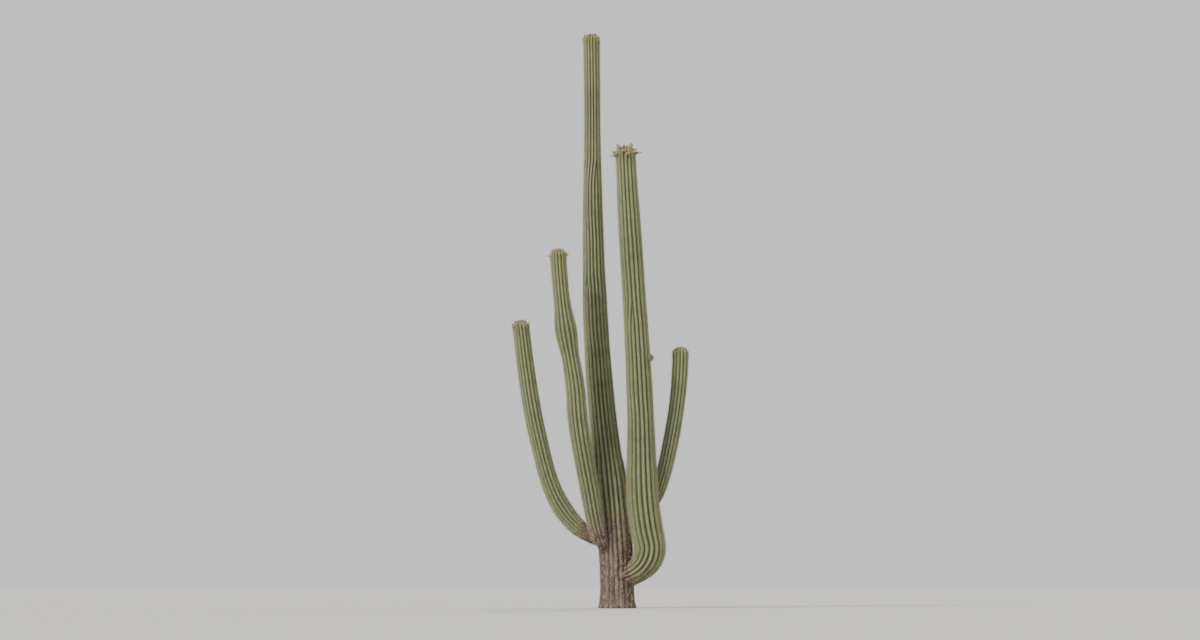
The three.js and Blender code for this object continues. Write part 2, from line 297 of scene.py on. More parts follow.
def along(stations, distances):
    """A smooth value between stations of (distance, value). Each one's slope comes from its neighbours."""
    at, value = np.array(stations, float).T
    slope = np.diff(value) / np.diff(at)
    slope = np.concatenate((slope[:1], (value[2:] - value[:-2]) / (at[2:] - at[:-2]), slope[-1:]))
    distances = np.clip(distances, at[0], at[-1])
    i = np.clip(np.searchsorted(at, distances, side="right") - 1, 0, len(at) - 2)
    span = at[i + 1] - at[i]
    t = (distances - at[i]) / span
    return (
        value[i] * (1 + 2 * t) * (1 - t) ** 2
        + value[i + 1] * t * t * (3 - 2 * t)
        + slope[i] * span * t * (1 - t) ** 2
        - slope[i + 1] * span * t * t * (1 - t)
    )


def between(ends, share):
    """The value at a share of the way from the first of two ends to the second."""
    return ends[0] + (ends[1] - ends[0]) * share


def smoothstep(value, low, high):
    """Rises smoothly from 0 at low to 1 at high."""
    t = np.clip((value - low) / (high - low), 0, 1)
    return t * t * (3 - 2 * t)


def grain(points, waves, seed=0):
    """Smooth seeded noise at each of a list of points. The waves are its height and its rhythm."""
    height, rhythm = waves
    shift = Vector([seed * part for part in SEED_SHIFT])
    return height * np.array([noise.noise(Vector(p) * rhythm + shift) for p in points.reshape(-1, 3)])


def centreline(knots):
    """Distances, points and headings along one cubic curve from each knot to the next."""
    t = np.linspace(0, 1, CURVE_SAMPLES)[:, None]
    weights = np.hstack(((1 - t) ** 3, 3 * t * (1 - t) ** 2, 3 * t * t * (1 - t), t**3))
    slopes = np.hstack(((1 - t) ** 2, 2 * t * (1 - t), t * t))
    points, aims = [], []
    for i, ((start, leave), (end, arrive)) in enumerate(zip(knots, knots[1:])):
        start, end = np.array(start, float), np.array(end, float)
        reach = np.linalg.norm(end - start) * (UPRIGHT_REACH if i else ELBOW_REACH)
        handles = np.array((start, start + unit(leave) * reach, end - unit(arrive) * reach, end))
        points.append(weights @ handles)
        aims.append(slopes @ np.diff(handles, axis=0))
    points, aims = np.concatenate(points), unit(np.concatenate(aims))
    steps = np.linalg.norm(np.diff(points, axis=0), axis=1)
    return np.concatenate(([0], np.cumsum(steps))), points, aims


class Limb:
    """A ribbed column along a smooth centreline."""

    def __init__(self, seed, name, nodes, ribs, knots, girth, cork_reach, crown=None, rib_ends=None):
        self.seed, self.name, self.nodes, self.ribs = seed, name, nodes, ribs
        self.girth, self.cork_reach, self.crown = girth, cork_reach, crown
        self.rib_ends = rib_ends or {}
        self.start = 0.0
        self.exits = []
        self.is_trunk = name == "trunk"
        self.full_ribs = FULL_RIB_HEIGHT if self.is_trunk else ARM_RIB_SPAN * girth[0][1]
        self.travelled, self.points, self.aims = centreline(knots)
        self.length = self.travelled[-1]
        self.tip_radius = float(along(girth, self.length))
        self.dome = DOME_SHARE * self.tip_radius
        self.pole_radius = POLE_SHARE * self.tip_radius
        out_x, out_y = (1, 0) if self.is_trunk else knots[0][1][:2]
        self.sideways = unit((-out_y, out_x, 0))

    def frame(self, distances):
        """Centre, heading, side and front of the limb at each distance."""
        centre, ahead = (
            np.stack([np.interp(distances, self.travelled, line[:, k]) for k in range(3)], axis=-1)
            for line in (self.points, self.aims)
        )
        ahead = unit(ahead)
        side = unit(self.sideways - ahead * (ahead @ self.sideways)[..., None])
        return centre, ahead, side, np.cross(side, ahead)

    def crest_radius(self, distances):
        """Radius over the rib crests. It swells in good years, and there is none at the pole."""
        into = np.clip((distances - (self.length - self.dome)) / self.dome, 0, 1)
        row = self.seed * GIRTH_STEP
        wobble = [noise.noise(Vector((d * GIRTH_RHYTHM, row, 0.5))) for d in np.ravel(distances)]
        swell = 1 + GIRTH_WOBBLE * np.reshape(wobble, np.shape(distances))
        return along(self.girth, distances) * swell * np.sqrt(1 - into**2)

    def groove_depth(self, distances):
        """Depth of the grooves under the crests. They are shallow where the limb begins."""
        grown = between((FOOT_RIB_SHARE, 1), (distances - self.start) / self.full_ribs)
        return self.crest_radius(distances) * RIB_DEPTH_SHARE * np.clip(grown, FOOT_RIB_SHARE, 1)

    def rib_widths(self, distances):
        """Width of each rib beside a whole one: 1, and falling to 0 where a rib runs out."""
        widths = np.ones((len(distances), self.ribs))
        for rib, end in self.rib_ends.items():
            widths[:, rib] = 1 - smoothstep(distances, end - RIB_END_LENGTH, end)
        return np.where(widths < LEAST_RIB, 0, widths)

    def grooves(self, distances):
        """Turn of every groove, from the one before rib 0 round to it again."""
        widths = self.rib_widths(distances)
        edges = np.concatenate((np.zeros((len(distances), 1)), np.cumsum(widths, axis=1)), axis=1)
        rows = [rib * MEANDER_STEP for rib in range(self.ribs)]
        places = (Vector((d * MEANDER_RHYTHM, row, self.seed)) for d in distances for row in rows)
        stray = np.array([noise.noise(place) for place in places]).reshape(widths.shape)
        for rib in self.rib_ends:  # its two grooves meet where it ends
            stray[:, rib + 1] += (stray[:, rib] - stray[:, rib + 1]) * (1 - widths[:, rib])
        stray = np.concatenate((stray, stray[:, :1]), axis=1)
        return (edges - widths[:, :1] / 2 + stray * RIB_MEANDER) / edges[:, -1:] * math.tau

    def stops(self, spacing):
        """Distances of the skin's rings: two to a spine cluster, and as close over the dome."""
        straight_end = self.length - self.dome
        rings = round((straight_end - self.start) / (spacing / 2))
        arc = math.pi / 2 * math.sqrt((self.dome**2 + float(self.crest_radius(straight_end)) ** 2) / 2)
        turns = np.linspace(0, math.pi / 2, round(arc / (spacing / 2)) + 1)[1:]
        straight = np.linspace(self.start, straight_end, rings + 1)
        return np.concatenate((straight, straight_end + self.dome * np.sin(turns)))

    def has_cluster(self, stops):
        """Which ribs have a spine cluster at each ring: staggered, but all of them at the tip."""
        staggered = (np.arange(len(stops))[:, None] + np.arange(self.ribs)) % 2 == 0
        return staggered | (self.length - stops < CROWDED_TIP)[:, None]

    def way_out(self, carrier):
        """Distance where the limb is just deep enough in its carrier to hide the start of its skin."""
        distances = np.linspace(0, self.length * SEAT_REACH, SEAT_SEARCH)
        depth = carrier.depth_of(self.frame(distances)[0])
        return float(distances[np.argmax(depth < SEAT_DEPTH * self.crest_radius(distances))])

    def depth_of(self, points):
        """How deep points lie under this limb's crests. It is negative outside."""
        middle = self.points[::COARSE_STEP]
        radius = self.crest_radius(self.travelled[::COARSE_STEP])
        apart = (points**2).sum(1)[:, None] + (middle**2).sum(1) - 2 * points @ middle.T
        return np.max(radius - np.sqrt(np.maximum(apart, 0)), axis=1)


def spot(limb, distances, turns, radii):
    """Points on a limb, and the ways out, round and ahead there."""
    centre, ahead, side, front = limb.frame(distances)
    cos, sin = np.cos(turns)[..., None], np.sin(turns)[..., None]
    out = front * cos + side * sin
    return centre + out * np.asarray(radii)[..., None], out, side * cos - front * sin, ahead


def in_scene(name, data):
    """A new object, linked to the scene."""
    made = bpy.data.objects.new(name, data)
    bpy.context.scene.collection.objects.link(made)
    return made


def new_piece(name, mesh, material, nodes=()):
    """Puts a finished mesh in the scene, where it rides with the plant."""
    mesh.materials.append(material)
    mesh.name = name
    piece = in_scene(name, mesh)
    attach(piece, "root")
    if nodes:
        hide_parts(*nodes)


def mesh_of(bm, smooth=True):
    """A mesh made from a finished bmesh, which is freed."""
    for face in bm.faces:
        face.smooth = smooth
    mesh = bpy.data.meshes.new("shape")
    bm.to_mesh(mesh)
    bm.free()
    return mesh


def cork_at(limb, points, distances):
    """How corky the skin is where the limb begins, and round each arm that breaks out of it."""
    stray = sum(grain(points, waves, seed) for seed, waves in enumerate(CORK_STRAYS, 3))
    cork = np.zeros(len(stray))
    if limb.cork_reach:
        cork = 1 - smoothstep((distances - limb.start) / limb.cork_reach + stray, *CORK_FADE)
    for at, radius in limb.exits:
        apart = np.linalg.norm(points.reshape(-1, 3) - at, axis=1) / radius
        scar = EXIT_CORK * (1 - smoothstep(apart + EXIT_STRAY * stray, *EXIT_SPAN))
        cork = np.maximum(cork, scar)
    return cork


def wrapped_grid(rings, values):
    """A closed skin from rings of points: a grid wrapped round, its seam and both ends drawn together."""
    rows, around = rings.shape[:2]
    bm = bmesh.new()
    bmesh.ops.create_grid(bm, x_segments=around, y_segments=rows - 1, size=1)
    seamed = [np.concatenate((part, part[:, :1]), axis=1) for part in (rings, *values.values())]
    layers = [bm.verts.layers.float.new(name) for name in values]
    places = zip(bm.verts, seamed[0].reshape(-1, 3), *(part.ravel() for part in seamed[1:]))
    for vert, point, *held in places:
        vert.co = point
        for layer, value in zip(layers, held):
            vert[layer] = value
    bmesh.ops.remove_doubles(bm, verts=bm.verts, dist=SAME_PLACE)
    return mesh_of(bm)


def ribbed_skin(limb, spacing):
    """The skin of a limb: pleated ribs, bumps under the spine clusters, and rough cork."""
    stops = limb.stops(spacing)
    shares = np.tile(RIB_SHARES, limb.ribs)
    rib = np.repeat(np.arange(limb.ribs), len(RIB_SHARES))
    across = np.abs(shares) * 2
    grooves = limb.grooves(stops)
    turns = grooves[:, rib] + np.diff(grooves, axis=1)[:, rib] * (shares + 0.5)

    dip = (1 - GROOVE_FALL) * across**RIB_ROUNDNESS + GROOVE_FALL * across**GROOVE_SHARPNESS
    standing = limb.rib_widths(stops)[:, rib]
    crest = limb.crest_radius(stops)[:, None]
    radii = crest - limb.groove_depth(stops)[:, None] * (1 - standing * (1 - dip))
    has_cluster = limb.has_cluster(stops)[:, rib]
    near_crest = np.clip(1 - across / CREST_WIDTH, 0, 1)
    bump = np.where(has_cluster, CREST_BUMP, -CREST_BUMP / 2) * near_crest
    radii += bump * standing * smoothstep(crest, limb.pole_radius, POLE_FADE * limb.pole_radius)

    distances = np.repeat(stops[:, None], len(shares), axis=1)
    points, out, _, _ = spot(limb, distances, turns, radii)
    cork = cork_at(limb, points, distances.ravel()).reshape(radii.shape)
    flesh = grain(points, SWELLS) + grain(points, DENTS, 1)
    plates = np.abs(grain(points * PLATE_STRETCH, PLATES, 2)) - PLATE_SINK
    relief = flesh.reshape(radii.shape) + cork * plates.reshape(radii.shape)
    points = points + out * (relief * smoothstep(crest, 0, limb.pole_radius))[..., None]
    if limb.is_trunk:
        points[0, :, 2] = 0
        points[..., 2] = np.maximum(points[..., 2], 0)

    middle = np.repeat(limb.frame(stops[:1])[0][:, None, :], len(shares), axis=1)
    values = {
        # How deep in a groove each point lies. It sets the painted shade in the grooves and the bleaching on
        # the crests.
        "groove_shade": 1 - standing * (1 - across),
        "cork": cork,
        "cluster": np.where(has_cluster, 1, HALO_BETWEEN) * near_crest * standing,
        "to_tip": limb.length - distances,
    }
    values = {name: np.concatenate((part[:1], part)) for name, part in values.items()}
    return wrapped_grid(np.concatenate((middle, points)), values)


def clusters(limb, spacing, others):
    """Where a limb's spine clusters sit: along the crest of every rib, and in a spiral over the pole."""
    stops = limb.stops(spacing)
    grooves = limb.grooves(stops)
    crest = limb.crest_radius(stops)
    widths = limb.rib_widths(stops)
    on_a_rib = (widths > BARE_RIB) & (crest[:, None] > limb.pole_radius)
    ring, rib = np.nonzero(limb.has_cluster(stops) & on_a_rib)
    radii = crest[ring] - limb.groove_depth(stops)[ring] * (1 - widths[ring, rib]) + CREST_BUMP
    turns = (grooves[ring, rib] + grooves[ring, rib + 1]) / 2
    slope = np.clip(-np.gradient(crest, stops)[ring], *SLOPES)

    k = np.arange(round(limb.pole_radius / POLE_STEP)) + 0.5
    pole_radii = limb.pole_radius * np.sqrt(k / len(k))
    into = np.sqrt(1 - (pole_radii / limb.tip_radius) ** 2)
    distances = np.concatenate((stops[ring], limb.length - limb.dome * (1 - into)))
    turns = np.concatenate((turns, k * GOLDEN * math.tau))
    radii = np.concatenate((radii, pole_radii))
    slope = np.concatenate((slope, limb.tip_radius**2 / limb.dome * into / pole_radii))

    points, out, around, ahead = spot(limb, distances, turns, radii)
    out = unit(out + ahead * slope[:, None])
    up = np.cross(out, around)
    keep = points[:, 2] > BARE_FOOT
    for other in others:
        keep &= other.depth_of(points) < -CLEAR_OF_OTHERS
    places = {"at": points, "out": out, "round": around, "up": up, "to_tip": limb.length - distances}
    places["cork"] = cork_at(limb, points, distances)
    return {name: values[keep] for name, values in places.items()}


def mesh_of_arrays(points, faces):
    """One mesh of many small shapes: the points of each, and the corners of one shape's faces."""
    count, size = points.shape[:2]
    faces = np.arange(count)[:, None, None] * size + np.array(faces)
    mesh = bpy.data.meshes.new("shapes")
    mesh.from_pydata(points.reshape(-1, 3), [], faces.reshape(-1, 3))
    return mesh


def spine_mesh(feet, ways, lengths, widths):
    """Slim three-sided spines: three corners round each foot, and a tip."""
    across = unit(np.cross(ways, OFF_AXIS))
    over = np.cross(ways, across)
    corners = [
        feet + (across * math.cos(turn) + over * math.sin(turn)) * widths[..., None]
        for turn in (0, math.tau / 3, math.tau * 2 / 3)
    ]
    points = np.stack((*corners, feet + ways * lengths[..., None]), axis=-2)
    return mesh_of_arrays(points.reshape(-1, 4, 3), [(0, 1, 3), (1, 2, 3), (2, 0, 3), (2, 1, 0)])


def cushion_mesh(places, size, rng):
    """Low felt cushions, one under each spine cluster."""
    scale = size * rng.uniform(*CUSHION_SPREAD, (len(places["at"]), 1))
    rim = [
        places["at"]
        + (places["round"] * math.cos(turn) * CUSHION_WIDTH + places["up"] * math.sin(turn)) * scale
        - places["out"] * CUSHION_SUNK * scale
        for turn in np.arange(CUSHION_SIDES) / CUSHION_SIDES * math.tau
    ]
    points = np.stack((*rim, places["at"] + places["out"] * CUSHION_CROWN * scale), axis=1)
    sides = [(k, (k + 1) % CUSHION_SIDES, CUSHION_SIDES) for k in range(CUSHION_SIDES)]
    base = [(0, k, k - 1) for k in range(CUSHION_SIDES - 1, 1, -1)]
    mesh = mesh_of_arrays(points, sides + base)
    mesh.shade_smooth()
    return mesh


def spread_spines(places, look, rng):
    """Feet, directions, lengths and widths of the spines, one row to a cluster."""
    outer, inner = look.radials, look.centrals
    kinds = np.repeat((0, 1), (outer, inner))
    fans = np.arange(outer) / outer * math.tau, DOWN + np.arange(inner) / inner * math.tau
    turns = np.concatenate(fans) + rng.normal(0, TURN_STRAY, (len(places["at"]), outer + inner))
    rise = np.take(RISES, kinds) + rng.normal(0, RISE_STRAY, turns.shape)
    rise[:, outer] -= SPEAR_DROOP

    low = 1 - smoothstep(places["at"][:, 2], *STOUT_SPAN)
    tender = 1 - smoothstep(places["to_tip"], *TENDER_SPAN)
    longest = (look.longest * (between(LENGTH_BY_HEIGHT, low) + TENDER_LENGTH * tender))[:, None]
    lengths = np.take(LENGTHS, kinds) * longest * rng.uniform(*LENGTH_SPREAD, turns.shape)
    lengths[:, outer] *= SPEAR_LENGTH
    widths = np.take(WIDTHS, kinds) * look.width / 2 * between(WIDTH_BY_HEIGHT, low)[:, None]

    cos, sin = np.cos(turns)[..., None], np.sin(turns)[..., None]
    flat = places["round"][:, None] * cos + places["up"][:, None] * sin
    ways = unit(flat * np.cos(rise)[..., None] + places["out"][:, None] * np.sin(rise)[..., None])
    feet = places["at"][:, None] + flat * FOOT_RING
    return feet, ways, lengths, widths


def spine_ages(places, rng):
    """The age of each cluster's spines, as a place in SPINE_AGES. The youngest stand at the tips."""
    count = len(places["at"])
    young = YOUNG_SHARE * (1 - smoothstep(places["to_tip"], *YOUNG_SPAN))
    weathered = np.clip(WEATHERED_SHARES[1] - WEATHERED_FALL * places["at"][:, 2], *WEATHERED_SHARES)
    old, dark, new = (rng.random(count) < share for share in (weathered, TAWNY_SHARE, young))
    return np.select((new, old, dark), (YOUNG, WEATHERED, TAWNY), STRAW)


def turned(axis):
    """The rotation that takes +Z to a direction."""
    return Vector(axis).to_track_quat("Z", "Y").to_matrix().to_4x4()


def lathe(bm, profile, sides):
    """Spins a profile of (radius, height) round Z. Its two ends lie on the axis."""
    verts = [bm.verts.new((radius, 0, height)) for radius, height in profile]
    edges = [bm.edges.new(pair) for pair in zip(verts, verts[1:])]
    geom = verts + edges
    bmesh.ops.spin(bm, geom=geom, axis=(0, 0, 1), angle=math.tau, steps=sides, use_merge=True)
    bmesh.ops.remove_doubles(bm, verts=bm.verts, dist=SAME_PLACE)
    bmesh.ops.recalc_face_normals(bm, faces=bm.faces)


def wedge(bm, place, width, thickness, length):
    """A flat pointed wedge that starts at a place and points along its Z."""
    shape = Matrix.Diagonal((width, thickness, length, 1)) @ Matrix.Translation((0, 0, 0.5))
    place = place @ shape
    bmesh.ops.create_cone(bm, cap_ends=True, segments=4, radius1=0.5, radius2=0, depth=1, matrix=place)


def spun(profile, sides, folds=0.0):
    """A small round shape from its profile. Folds wind up it, by a share of its radius."""
    bm = bmesh.new()
    lathe(bm, profile, sides)
    for vert in bm.verts:
        turn = math.atan2(vert.co.y, vert.co.x) + FOLD_TWIST * vert.co.z
        vert.co.xy *= 1 + folds * math.cos(FOLD_COUNT * turn)
    return mesh_of(bm)


def bud_tube():
    """The fleshy tube of a closed flower bud."""
    return spun(BUD_TUBE, sides=12)


def closed_petals():
    """A bud's petals, folded round each other over the tube."""
    return spun(BUD_TOP, 16, PETAL_FOLDS)


def young_fruit():
    """A plump green fruit."""
    return spun(FRUIT, sides=14)


def scale_spiral(count, low, high, radius, width, length):
    """Pointed scales that lie in a spiral up a bud or fruit."""
    bm = bmesh.new()
    for k in range(count):
        share = (k + 0.5) / count
        place = (
            Matrix.Rotation(k * GOLDEN * math.tau, 4, "Z")
            @ Matrix.Translation((0, radius * (1 - SCALE_TAPER * share), between((low, high), share)))
            @ Matrix.Rotation(SCALE_TILT, 4, "X")
        )
        wedge(bm, place, width, SCALE_THICKNESS, length)
    return mesh_of(bm)


def dried_flower():
    """The withered flower on a young fruit: a long shrunken throat and a tuft of curled petals."""
    bm = bmesh.new()
    lathe(bm, THROAT, sides=9)
    for k in range(DRIED_PETALS):
        place = (
            Matrix.Rotation(k * GOLDEN * math.tau, 4, "Z")
            @ Matrix.Translation(PETAL_SEAT)
            @ Matrix.Rotation(-between(PETAL_LEAN, k * GOLDEN % 1), 4, "X")
            @ Matrix.Rotation(k * PETAL_TURN, 4, "Z")
        )
        wedge(bm, place, PETAL_WIDTH, PETAL_THICKNESS, PETAL_LENGTHS[k % 3])
    return mesh_of(bm)


def crown_places(limb):
    """Where a tip's buds stand, by the rule that the solids follow, and which aren't fruit yet."""
    rim, top, tilt = limb.crown["rim"], limb.crown["top"], limb.crown["tilt"]
    places = []
    for k in range(rim + top):
        on_rim = k < rim
        vary = k * GOLDEN % 1
        rib = int((k / rim if on_rim else (k - rim + 0.5) / top) * limb.ribs + 0.5)
        distance = limb.length - limb.dome * between(RIM_DROP if on_rim else TOP_DROP, vary)
        slope = math.radians(tilt + between(RIM_LEAN, vary) if on_rim else between(TOP_TILT, vary))
        turn = rib / limb.ribs * math.tau
        at, out, _, ahead = spot(limb, distance, turn, limb.crest_radius(distance))
        axis = out * math.cos(slope) + ahead * math.sin(slope)
        own_turn = Matrix.Rotation(k * BUD_TURN, 4, "Z")
        size = Matrix.Scale(limb.crown["length"] * between(BUD_SIZES, vary), 4)
        place = Matrix.Translation(at) @ turned(axis) @ own_turn @ size
        places.append((place, vary <= BUD_SHARE))
    return places


def joined(shape, places):
    """One mesh of a small shape copied to many places."""
    bm = bmesh.new()
    for place in places:
        start = len(bm.verts)
        bm.from_mesh(shape)
        bm.verts.ensure_lookup_table()
        bmesh.ops.transform(bm, matrix=place, verts=bm.verts[start:])
    return mesh_of(bm)


def wool_cap(bm, limb, rng):
    """A thin pad of felt on a tip's pole, under the crowd of the youngest clusters."""
    at, _, _, ahead = spot(limb, limb.length, 0.0, 0.0)
    made = bmesh.ops.create_uvsphere(bm, u_segments=26, v_segments=14, radius=1)
    for vert in made["verts"]:
        lumps = noise.noise(vert.co * WOOL_RHYTHM + Vector((limb.seed * WOOL_STEP, 0, 0)))
        vert.co *= 1 + WOOL_LUMPS * lumps + rng.uniform(-WOOL_FUZZ, WOOL_FUZZ)
    size = Matrix.Diagonal((*(limb.tip_radius * share for share in WOOL_PAD), 1))
    bmesh.ops.transform(bm, matrix=Matrix.Translation(at) @ turned(ahead) @ size, verts=made["verts"])


def young_nub(carrier):
    """A new arm that has just broken out of a rib: a short round limb of its own."""
    distance = float(np.interp(NUB_HEIGHT, carrier.points[:, 2], carrier.travelled))
    seat, out, _, ahead = spot(carrier, distance, 0.0, carrier.crest_radius(distance))
    tip = seat + out * NUB_REACH + ahead * NUB_LIFT
    knots = [(seat - out * NUB_SUNK, out), (tip, out + ahead * NUB_LEAN)]
    girth = [(0, NUB_RADIUS * NUB_WAIST), (NUB_SUNK, NUB_RADIUS), (NUB_SUNK + NUB_REACH, NUB_RADIUS)]
    return Limb(NUB_SEED, "young_nub", (), NUB_RIBS, knots, girth, cork_reach=0)


def grown_plant():
    """Every limb. An arm's skin starts just inside what carries it."""
    trunk = Limb(1, **TRUNK)
    arms = []
    for seed, sizes in enumerate((RIGHT_TALL_ARM, LEFT_TALL_ARM, LEFT_LOW_ARM, RIGHT_SHORT_ARM), 2):
        arm = Limb(seed, **sizes)
        carrier = arms[0] if sizes is RIGHT_SHORT_ARM else trunk
        arm.start = arm.way_out(carrier)
        radius = float(arm.crest_radius(arm.start))
        carrier.exits.append((arm.frame(arm.start + SEAT_DEPTH * radius)[0], radius))
        arms.append(arm)
    return trunk, arms, young_nub(arms[0])


class Value:
    """A shader socket that takes part in sums: each operator adds its Math node."""

    def __init__(self, shader, socket):
        self.shader = shader
        self.socket = socket

    def math(self, operation, first, second):
        return self.shader.node("ShaderNodeMath", {"operation": operation}, {0: first, 1: second})

    def __add__(self, other):
        return self.math("ADD", self, other)

    def __sub__(self, other):
        return self.math("SUBTRACT", self, other)

    def __rsub__(self, other):
        return self.math("SUBTRACT", other, self)

    def __mul__(self, other):
        return self.math("MULTIPLY", self, other)

    def __pow__(self, other):
        return self.math("POWER", self, other)

    def __abs__(self):
        return self.math("ABSOLUTE", self, 0)

    __radd__ = __add__
    __rmul__ = __mul__


# Where a Mix node takes its factor and two colours, and where it gives a colour
MIX_SOCKETS = (0, 6, 7)
MIX_COLOUR = 2


class Shader:
    """The nodes of one material: patterns and sums, ending in a Principled BSDF."""

    def __init__(self, name):
        self.material = bpy.data.materials.new(name)
        self.material.use_nodes = True
        self.tree = self.material.node_tree
        self.tree.nodes.clear()
        self.place = self.node("ShaderNodeTexCoord", {}, {}, "Object")

    def node(self, kind, settings, sockets, output=0):
        """Adds a node: its settings first, then the values or links of its sockets."""
        made = self.tree.nodes.new(kind)
        for name, value in settings.items():
            setattr(made, name, value)
        for key, value in sockets.items():
            if isinstance(value, Value):
                self.tree.links.new(value.socket, made.inputs[key])
            else:
                made.inputs[key].default_value = value
        return Value(self, made.outputs[output])

    def attribute(self, name):
        return self.node("ShaderNodeAttribute", {"attribute_name": name}, {}, "Fac")

    def stretched(self, factors, place=None):
        """A place with scaled axes. A small factor draws a pattern out."""
        sockets = {0: place or self.place, 1: factors}
        return self.node("ShaderNodeVectorMath", {"operation": "MULTIPLY"}, sockets)

    def noise(self, scale, detail, stretch=None, roughness=0.5, place=None, output=0):
        """Noise on the object, in a pattern that a stretch draws out or squeezes."""
        place = self.stretched(stretch, place) if stretch else place or self.place
        sockets = {"Vector": place, "Scale": scale, "Detail": detail, "Roughness": roughness}
        return self.node("ShaderNodeTexNoise", {}, sockets, output)

    def smooth(self, value, low, high):
        """0 below low, 1 above high, and smooth between them."""
        sockets = {"Value": value, "From Min": low, "From Max": high}
        return self.node("ShaderNodeMapRange", {"interpolation_type": "SMOOTHSTEP"}, sockets)

    def mix(self, factor, first, second):
        """A blend of two colours, each a link or a plain colour."""
        first, second = (c if isinstance(c, Value) else (*c, 1) for c in (first, second))
        sockets = dict(zip(MIX_SOCKETS, (factor, first, second)))
        return self.node("ShaderNodeMix", {"data_type": "RGBA"}, sockets, MIX_COLOUR)

    def finish(self, colour, roughness, height=None, depth=0.0, **constants):
        """Joins colour, roughness and relief to the shader. Constants go to its other sockets."""
        sockets = {"Base Color": colour, "Roughness": roughness}
        if height is not None:
            bump = {"Distance": depth, "Height": height}
            sockets["Normal"] = self.node("ShaderNodeBump", {}, bump, "Normal")
        sockets.update({name.replace("_", " "): value for name, value in constants.items()})
        shader = self.node("ShaderNodeBsdfPrincipled", {}, sockets)
        output = self.tree.nodes.new("ShaderNodeOutputMaterial")
        self.tree.links.new(shader.socket, output.inputs["Surface"])
        return self.material


def waxy_flesh(s, look, green, mottle):
    """Living skin: darkened in the grooves by painted shade, bleached on the crests and scarred. Gives its
    colour and relief.
    """
    groove_shade = s.attribute("groove_shade")
    fresh = 1 - s.smooth(s.attribute("to_tip"), 0.05, 1.5)
    broad = s.noise(0.9, 4, (1, 1, 0.45))
    bands = s.noise(3.4, 3, (0.3, 0.3, 1), 0.55)
    wrinkles = s.noise(17, 4, (0.45, 0.45, 2.6), 0.6)
    pores = s.noise(150, 3, roughness=0.7)
    bleached = (1 - groove_shade) ** 2 * s.smooth(mottle + 0.3 * broad, 0.45, 0.85)
    scarred = s.smooth(s.noise(4.2, 4, (1, 1, 1.7), 0.7), 0.655, 0.69)

    flesh = s.mix(s.smooth(broad + 0.4 * (mottle - 0.5), 0.34, 0.7), green, look.sunned)
    for share, colour in (
        # Darker horizontal bands and wrinkles, in the same dark green
        (0.45 * s.smooth(bands, 0.45, 0.75), look.groove_shade),
        (0.55 * fresh, look.fresh),
        (0.35 * s.smooth(wrinkles, 0.5, 0.75), look.groove_shade),
        # Painted shade, darkest deep in the grooves between the ribs
        (0.85 * groove_shade**1.6, look.groove_shade),
        (0.6 * bleached, look.bloom),
        (0.75 * s.attribute("cluster") ** 1.5, look.halo),
        (0.75 * scarred, look.scar),
        (0.25 * s.smooth(pores, 0.5, 0.72), look.bloom),
    ):
        flesh = s.mix(share, flesh, colour)
    return flesh, 0.22 * pores + 0.45 * wrinkles + 0.3 * mottle - 0.35 * scarred


def old_cork(s, look, mottle, flakes):
    """Cork that has cracked lengthwise and into plates. Gives its colour and relief."""
    push = {0: s.noise(7, 2, output="Color"), 1: (0.07, 0.07, 0.07), 2: s.place}
    wander = s.node("ShaderNodeVectorMath", {"operation": "MULTIPLY_ADD"}, push)
    fissures = s.smooth(abs(2 * s.noise(8, 5, (1, 1, 0.33), 0.62, wander) - 1), 0.0, 0.13)
    plates = {"Vector": s.stretched((1, 1, 0.8), wander), "Scale": 15}
    edges = s.node("ShaderNodeTexVoronoi", {"feature": "DISTANCE_TO_EDGE"}, plates)
    seams = s.smooth(edges + 0.3 * (flakes - 0.45), 0.0, 0.09)
    bark = s.mix(s.smooth(flakes + 0.4 * (mottle - 0.5), 0.34, 0.66), look.cork_dark, look.cork_light)
    bark = s.mix(0.8 * (1 - fissures * (0.45 + 0.55 * seams)), bark, look.cork_dark)
    return bark, 0.8 * flakes + 0.9 * fissures + 0.5 * seams


def living_skin(name, look, green):
    """The skin of a limb: waxy flesh that tans and turns to cork where it is old."""
    s = Shader(name)
    cork = s.attribute("cork")
    mottle = s.noise(11, 5, (1, 1, 0.6), 0.6)
    flakes = s.noise(42, 6, (1, 1, 0.5), 0.7)
    flesh, smooth_relief = waxy_flesh(s, look, green, mottle)
    bark, rough_relief = old_cork(s, look, mottle, flakes)

    tanned = 0.85 * s.smooth(cork + 0.5 * (mottle - 0.5), 0.0, 0.5)
    corky = s.smooth(cork + 0.8 * (mottle - 0.5) + 0.4 * (flakes - 0.5), 0.38, 0.66)
    colour = s.mix(corky, s.mix(tanned, flesh, look.tanned), bark)
    roughness = 0.5 + 0.18 * mottle + 0.28 * corky
    relief = (1 - corky) * smooth_relief + corky * rough_relief
    return s.finish(colour, roughness, relief, depth=0.007, Specular_IOR_Level=0.36)


def dry_spine(name, colour):
    """Dry spines in one plain colour. The ages of the clusters deal the colours out."""
    return Shader(name).finish((*colour, 1), 0.56, Specular_IOR_Level=0.35)


def felt(name, colour, worn):
    """Short dense wool, greyed where it is old."""
    s = Shader(name)
    fibres = s.noise(320, 4, roughness=0.7)
    shade = s.mix(s.smooth(s.noise(14, 3), 0.35, 0.7), colour, worn)
    roughness = 0.9 - 0.05 * fibres
    return s.finish(shade, roughness, fibres, depth=0.003, Sheen_Weight=0.35, Specular_IOR_Level=0.2)


def bud_skin(name, colour, shade, roughness):
    """The skin of a bud, fruit or petal, flushed with a second colour."""
    s = Shader(name)
    flush = s.smooth(s.noise(30, 4, roughness=0.6), 0.38, 0.68)
    streaks = s.noise(90, 3, (1, 1, 0.3))
    return s.finish(s.mix(flush, colour, shade), roughness + 0.12 * streaks, streaks, depth=0.0015)


